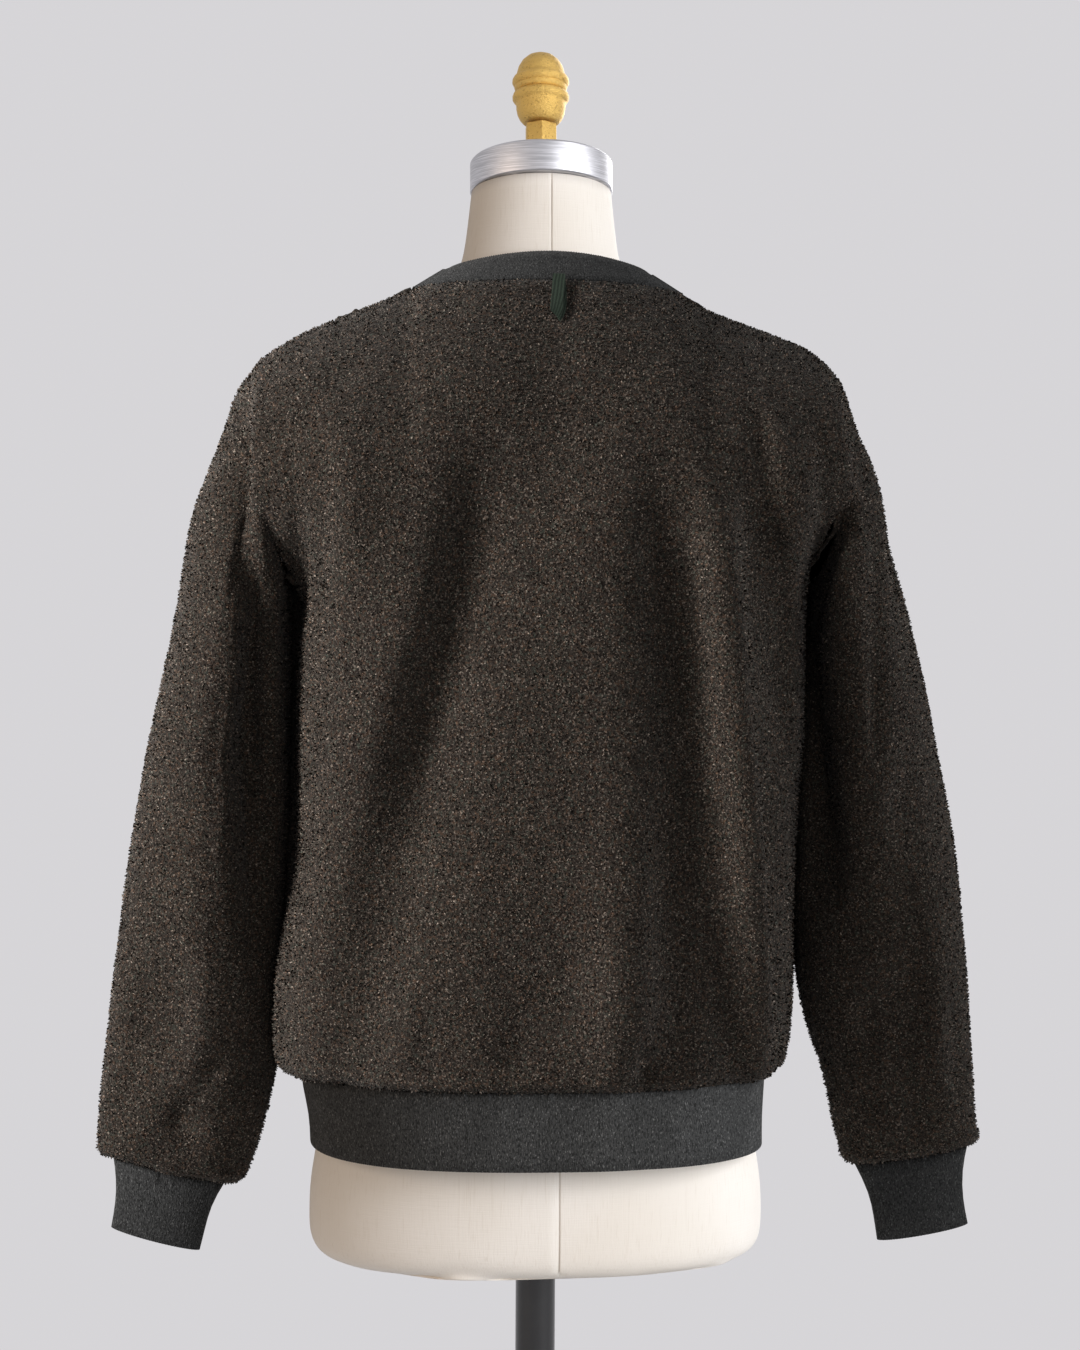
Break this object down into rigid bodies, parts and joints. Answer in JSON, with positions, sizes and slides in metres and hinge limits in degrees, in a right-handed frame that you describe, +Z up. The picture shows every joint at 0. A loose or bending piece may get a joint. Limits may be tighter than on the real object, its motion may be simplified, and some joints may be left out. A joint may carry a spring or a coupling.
{
  "type": "fleece cardigan on a dress form",
  "caption": "Hip-length cardigan in curly fleece with ribbed neck and front band, hem and cuffs, worn buttoned on a padded linen dress form with a pole and round base.",
  "frame": {"origin": "on the floor at the stand's axis, at the middle of the base's underside", "axes": "+Z up along the stand, +Y out of the cardigan's back, +X towards the cardigan's left sleeve"},
  "size_m": [0.6637, 0.35, 1.6409],
  "materials": {
    "fleece": "dark olive-brown heather fleece with a short curly nap",
    "rib_knit": "fine rib knit in dark green-grey heather",
    "tape": "woven dark green tape",
    "horn": "dark brown horn-look, satin",
    "linen": "cream linen, tightly stretched",
    "aluminium": "brushed round its edge",
    "gilt": "grainy gold-coloured casting",
    "pole": "gloss black",
    "base": "satin black"
  },
  "bodies": {
    "root": {"back_panel": "fleece", "front_left": "fleece", "front_right": "fleece", "sleeve_left": "fleece", "sleeve_right": "fleece", "cuff_left": "rib_knit", "cuff_right": "rib_knit", "hem_band": "rib_knit", "neck_and_front_band": "rib_knit", "hanger_loop": "tape", "button_1": "horn", "button_2": "horn", "button_3": "horn", "button_4": "horn", "button_5": "horn", "button_6": "horn", "dress_form": "linen", "neck_cap": "aluminium", "finial": "gilt", "finial_stem": "gilt", "pole": "pole", "base": "base"}
  },
  "joints": []
}
